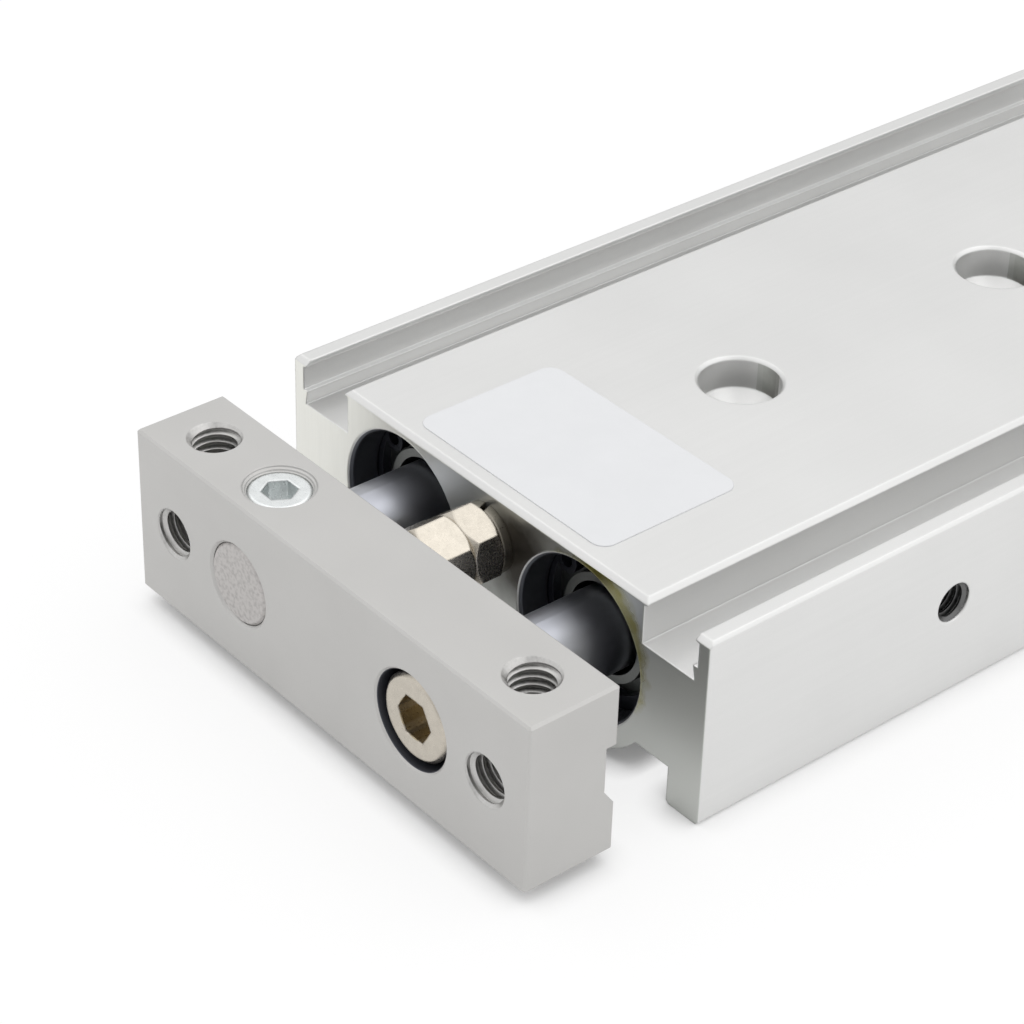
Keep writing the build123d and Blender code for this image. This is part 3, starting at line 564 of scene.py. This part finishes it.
class TWINROD_OT_finish_inner_pieces(bpy.types.Operator):
    """Gives the rings, covers, seals, bumpers, pistons and magnets their finishes"""

    bl_idname = "twin_rod.finish_inner_pieces"
    bl_label = "Finish Inner Pieces"

    def execute(self, context):
        colours = context.scene.twin_rod_colours
        # Spring steel, stamped, phosphated and oiled: crystals that mottle a dull black sheen, drawn 0.15 mm wide,
        # coarser than real ones, so that they show
        crystals = {"metallic": 0.7, "grain_size": 0.15, "darkest": 0.6, "smooth": 0.3, "rough": 0.45, "depth": 0.012}
        rings = mottled("phosphated spring steel", colours.phosphate, **crystals)
        # Bearing alloy, turned from bar: rings round the rod, drawn 0.08 mm apart, coarser than real ones, so that
        # they show
        turned = cut_metal("turned bearing alloy", colours.bearing, 0.35, (0.3, 0.08, 0.3))
        # Nitrile rubber and bonded magnet, both moulded: matt black with a faint bloom
        bloom = {"metallic": 0.0, "grain_size": 0.8, "darkest": 0.7, "smooth": 0.5, "rough": 0.7, "depth": 0.01}
        rubber = mottled("moulded nitrile rubber", colours.rubber, **bloom)
        magnet = mottled("moulded bonded magnet", colours.rubber, **bloom)
        dress(rubber, "bumper_pad")
        for side in ("left", "right"):
            dress(rings, f"front_retaining_ring_{side}", f"rear_retaining_ring_{side}")
            dress(turned, f"seal_retainer_{side}", f"rod_cover_{side}", f"head_cover_{side}", f"piston_{side}")
            dress(rubber, f"rod_seal_{side}", f"rod_cover_o_ring_{side}", f"head_cover_o_ring_{side}")
            dress(rubber, f"front_bumper_{side}", f"rear_bumper_{side}", f"piston_seal_{side}")
            dress(magnet, f"piston_magnet_{side}")
        return {"FINISHED"}


class TWINROD_OT_tap_holes(bpy.types.Operator):
    """Adds the threads of the plate's tapped holes and of the two open ports"""

    bl_idname = "twin_rod.tap_holes"
    bl_label = "Tap Holes"

    def execute(self, context):
        sizes = context.scene.twin_rod_sizes
        colours = context.scene.twin_rod_colours
        # Aluminium, tapped: bright flanks, which painted shade darkens in the ports, with tears drawn 0.3 mm wide,
        # coarser than real ones, so that they show
        tears = (0.3, 0.3, 0.3)
        cut = cut_metal("tapped aluminium", colours.plate, 0.34, tears)
        shaded_cut = cut_metal("tapped aluminium with painted shade", colours.port, 0.35, tears)
        front_holes = mount("plate_front_holes")["dims"]
        plate_radius = front_holes["hole_r_mm"] * MM
        spacing = front_holes["spacing_x_mm"] * MM
        top_y = mount("plate_top_holes")["pos_m"][1]
        # Each sleeve starts this far under the surface, so that its rim stays hidden
        sunk = 0.01 * MM
        for name, sign in (("left", -1), ("right", 1)):
            x = sign * spacing / 2
            holes = (
                (f"front_thread_{name}", (x, plate_low.y + sunk, axis_z), (0, -1, 0), sizes.front_thread),
                (f"top_thread_{name}", (x, top_y, plate_high.z - sunk), (0, 0, 1), sizes.top_thread),
            )
            for piece_name, origin, outwards, depth in holes:
                wall = threaded_wall(plate_radius, sizes.m5_pitch, depth, sizes.mouth)
                wall.transform(out_of_mouth(Vector(origin), outwards))
                add_piece(piece_name, wall, cut, "plate_and_rods")
        for name in ("front_port", "rear_port"):
            port = mount(name)
            origin = Vector((housing_high.x - sunk, port["pos_m"][1], port["pos_m"][2]))
            wall = threaded_wall(port["dims"]["r_mm"] * MM, sizes.m4_pitch, sizes.port_thread, sizes.mouth)
            wall.transform(out_of_mouth(origin, (1, 0, 0)))
            add_piece(f"{name}_thread", wall, shaded_cut, "cylinder_body")
        return {"FINISHED"}


class TWINROD_OT_stick_label(bpy.types.Operator):
    """Adds the bare label on top of the housing"""

    bl_idname = "twin_rod.stick_label"
    bl_label = "Stick Label"

    def execute(self, context):
        sizes = context.scene.twin_rod_sizes
        outline = rounded_rectangle(sizes.label_width, sizes.label_length, sizes.label_corner)
        middle = Vector((sizes.label_shift, front_y + sizes.label_gap + sizes.label_length / 2, housing_high.z))
        # The film's upper edge is bevelled over a little more than half of its thickness
        bevel = 0.6 * sizes.label_thickness
        levels = ((0.0, 0.0), (0.0, sizes.label_thickness - bevel), (bevel, sizes.label_thickness))
        shaped = bmesh.new()
        rings = []
        for inset, height in levels:
            shrink = 1 - 2 * inset / sizes.label_width
            rings.append([shaped.verts.new((p.x * shrink, p.y * shrink, height)) for p in outline])
        for low, high in zip(rings, rings[1:]):
            for i in range(len(outline)):
                j = (i + 1) % len(outline)
                shaped.faces.new((low[i], low[j], high[j], high[i]))
        shaped.faces.new(rings[-1])
        shaped.faces.new(list(reversed(rings[0])))
        shaped.transform(Matrix.Translation(middle))
        # Polyester film, silver white and laminated: flat, pale and a little glossy
        flat = {"metallic": 0.0, "grain_size": 3.0, "darkest": 0.98, "smooth": 0.28, "rough": 0.36, "depth": 0.004}
        film = mottled("laminated polyester film", context.scene.twin_rod_colours.label, **flat)
        add_piece("bare_label", shaped, film, "cylinder_body")
        return {"FINISHED"}


class TWINROD_OT_set_stage(bpy.types.Operator):
    """Adds the white table, the lamps, the surround and the camera"""

    bl_idname = "twin_rod.set_stage"
    bl_label = "Set Stage"

    def execute(self, context):
        scene = context.scene
        stage = scene.twin_rod_stage
        aim = Vector((0, front_y, stage.aim_height))

        shaped = bmesh.new()
        half_side = 4.0
        bmesh.ops.create_grid(shaped, x_segments=1, y_segments=1, size=half_side)
        mesh = bpy.data.meshes.new("table")
        shaped.to_mesh(mesh)
        shaped.free()
        table = bpy.data.objects.new("table", mesh)
        scene.collection.objects.link(table)
        # A hair below the housing's flat underside, so that the two never flicker
        table.location.z = -0.02 * MM

        # White paper, calendered: matt and even. The camera and what is mirrored see most of its white wherever
        # shadows fall, except in the narrow dark seam where the cylinder rests
        paper = bpy.data.materials.new("white paper")
        paper.use_nodes = True
        tree = paper.node_tree
        tree.nodes.clear()
        camera_ray = add_node(tree, "ShaderNodeLightPath", output="Is Camera Ray")
        rays = camera_ray.node.outputs
        either = (rays["Is Glossy Ray"], rays["Is Transmission Ray"])
        mirrored = add_node(tree, "ShaderNodeMath", either, operation="MAXIMUM")
        mirrored = add_node(tree, "ShaderNodeMath", (mirrored, stage.mirrored_glow), operation="MULTIPLY")
        seen = add_node(tree, "ShaderNodeMath", (camera_ray, stage.floor_glow), operation="MULTIPLY")
        seen = add_node(tree, "ShaderNodeMath", (seen, mirrored), operation="MAXIMUM")
        open_sky = add_node(tree, "ShaderNodeAmbientOcclusion", {"Distance": stage.contact}, "AO", samples=8)
        half_hidden, darkest = 0.5, 0.1
        beside = add_node(tree, "ShaderNodeMapRange", (open_sky, half_hidden, 1.0, darkest, 1.0))
        share = add_node(tree, "ShaderNodeMath", (seen, beside), operation="MULTIPLY")
        matt = add_node(tree, "ShaderNodeBsdfDiffuse", {"Color": scene.twin_rod_colours.floor})
        glow = add_node(tree, "ShaderNodeEmission", {"Color": (1, 1, 1, 1), "Strength": 1.0})
        both = add_node(tree, "ShaderNodeMixShader", (share, matt, glow))
        add_node(tree, "ShaderNodeOutputMaterial", (both,))
        mesh.materials.append(paper)

        world = bpy.data.worlds.new("studio surround")
        world.use_nodes = True
        background = world.node_tree.nodes["Background"]
        background.inputs["Color"].default_value = (1, 1, 1, 1)
        background.inputs["Strength"].default_value = stage.surround
        scene.world = world

        lamps = (
            ("softbox", (-0.2, 0.1, 1.0), 1.0, stage.softbox_size, stage.softbox_power),
            ("left_panel", (-0.63, -0.57, 0.62), 0.95, stage.panel_size, stage.left_power),
            ("right_panel", (0.56, 0.54, 0.63), 0.95, stage.panel_size, stage.right_power),
        )
        for name, direction, distance, size, power in lamps:
            lamp = bpy.data.lights.new(name, "AREA")
            lamp.shape = "SQUARE"
            lamp.size = size
            lamp.energy = power
            holder = bpy.data.objects.new(name, lamp)
            scene.collection.objects.link(holder)
            towards = Vector(direction).normalized()
            holder.location = towards * distance
            holder.rotation_euler = towards.to_track_quat("Z", "Y").to_euler()

        azimuth, elevation, roll = stage.azimuth, stage.elevation, stage.roll
        reach = math.cos(elevation)
        back = Vector((math.sin(azimuth) * reach, -math.cos(azimuth) * reach, math.sin(elevation)))
        level = Vector((math.cos(azimuth), math.sin(azimuth), 0))
        upright = back.cross(level)
        right = math.cos(roll) * level + math.sin(roll) * upright
        up = math.cos(roll) * upright - math.sin(roll) * level
        camera = bpy.data.cameras.new("camera")
        camera.sensor_width = 36
        camera.lens = stage.lens
        camera.clip_start = 10 * MM
        eye = bpy.data.objects.new("camera", camera)
        scene.collection.objects.link(eye)
        place = aim + back * stage.distance + right * stage.slide_right + up * stage.slide_up
        eye.matrix_world = placing(place, right, up, back)
        scene.camera = eye
        scene.view_settings.view_transform = "Standard"
        return {"FINISHED"}


class TWINROD_PT_sidebar(bpy.types.Panel):
    """The cylinder's steps, sizes and colours"""

    bl_idname = "TWINROD_PT_sidebar"
    bl_label = "Twin Rod Cylinder"
    bl_space_type = "VIEW_3D"
    bl_region_type = "UI"
    bl_category = "Twin Rod Cylinder"

    def draw(self, context):
        for step in STEPS:
            self.layout.operator(step.bl_idname)
        for group in (context.scene.twin_rod_sizes, context.scene.twin_rod_colours, context.scene.twin_rod_stage):
            box = self.layout.box()
            for name in group.__annotations__:
                box.prop(group, name)


STEPS = (
    TWINROD_OT_finish_housing,
    TWINROD_OT_finish_plate,
    TWINROD_OT_finish_rods,
    TWINROD_OT_finish_fasteners,
    TWINROD_OT_finish_inner_pieces,
    TWINROD_OT_tap_holes,
    TWINROD_OT_stick_label,
    TWINROD_OT_set_stage,
)
CLASSES = (TwinRodColours, TwinRodSizes, TwinRodStage, *STEPS, TWINROD_PT_sidebar)


def register():
    for kind in CLASSES:
        bpy.utils.register_class(kind)
    bpy.types.Scene.twin_rod_colours = PointerProperty(type=TwinRodColours)
    bpy.types.Scene.twin_rod_sizes = PointerProperty(type=TwinRodSizes)
    bpy.types.Scene.twin_rod_stage = PointerProperty(type=TwinRodStage)


def unregister():
    del bpy.types.Scene.twin_rod_stage
    del bpy.types.Scene.twin_rod_sizes
    del bpy.types.Scene.twin_rod_colours
    for kind in reversed(CLASSES):
        bpy.utils.unregister_class(kind)


def main():
    register()
    bpy.ops.twin_rod.finish_housing()
    bpy.ops.twin_rod.finish_plate()
    bpy.ops.twin_rod.finish_rods()
    bpy.ops.twin_rod.finish_fasteners()
    bpy.ops.twin_rod.finish_inner_pieces()
    bpy.ops.twin_rod.tap_holes()
    bpy.ops.twin_rod.stick_label()
    bpy.ops.twin_rod.set_stage()


if __name__ == "__main__":
    main()
